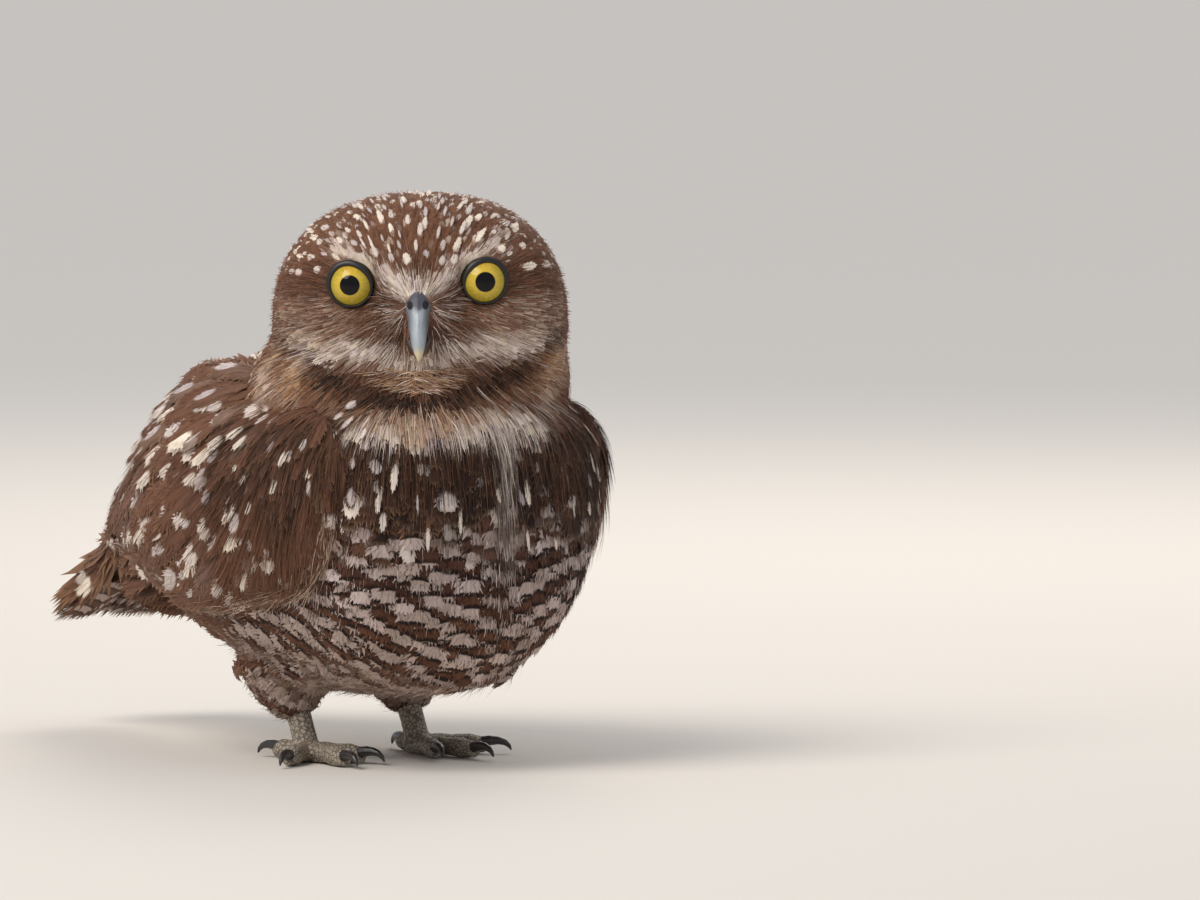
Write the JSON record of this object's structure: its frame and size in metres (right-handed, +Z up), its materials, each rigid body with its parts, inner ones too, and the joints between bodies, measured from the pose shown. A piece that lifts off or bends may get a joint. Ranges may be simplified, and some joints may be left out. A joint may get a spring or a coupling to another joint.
{
  "type": "burrowing owl model",
  "caption": "Still life-size burrowing owl, crouched on both feet with its wings folded and its head turned over its right side.",
  "frame": {"origin": "on the floor under the middle of the whole model's outer size", "axes": "-Y the way the breast faces, +Y towards the tail, +X the owl's left, +Z up"},
  "size_m": [0.1024, 0.1868, 0.1436],
  "materials": {
    "plumage_head": "soft layered feathers, umber brown with pale spots, white brows and chin",
    "plumage_throat": "soft pale feathers with a brown collar and a white throat patch",
    "plumage_body": "soft feathers, brown barred and scalloped with buff white",
    "plumage_wing": "overlapping vanes, warm brown with oval white spots",
    "plumage_tail": "overlapping vanes, brown with pale buff bars",
    "plumage_thigh": "short plain buff feathers",
    "eye": "wet clear cornea over a lemon yellow iris and black pupil",
    "bill": "smooth horn, grey green at the cere, straw yellow at the tip",
    "leg_skin": "small grey brown scales with sparse bristles",
    "claw": "polished dark horn"
  },
  "bodies": {
    "root": {"head": "plumage_head", "neck": "plumage_throat", "torso": "plumage_body", "tail": "plumage_tail", "bill_upper": "bill", "bill_lower": "bill", "eye_right": "eye", "wing_right": "plumage_wing", "thigh_right": "plumage_thigh", "leg_right": "leg_skin", "claw_right_inner": "claw", "claw_right_middle": "claw", "claw_right_outer": "claw", "claw_right_hind": "claw", "eye_left": "eye", "wing_left": "plumage_wing", "thigh_left": "plumage_thigh", "leg_left": "leg_skin", "claw_left_inner": "claw", "claw_left_middle": "claw", "claw_left_outer": "claw", "claw_left_hind": "claw"}
  },
  "joints": []
}
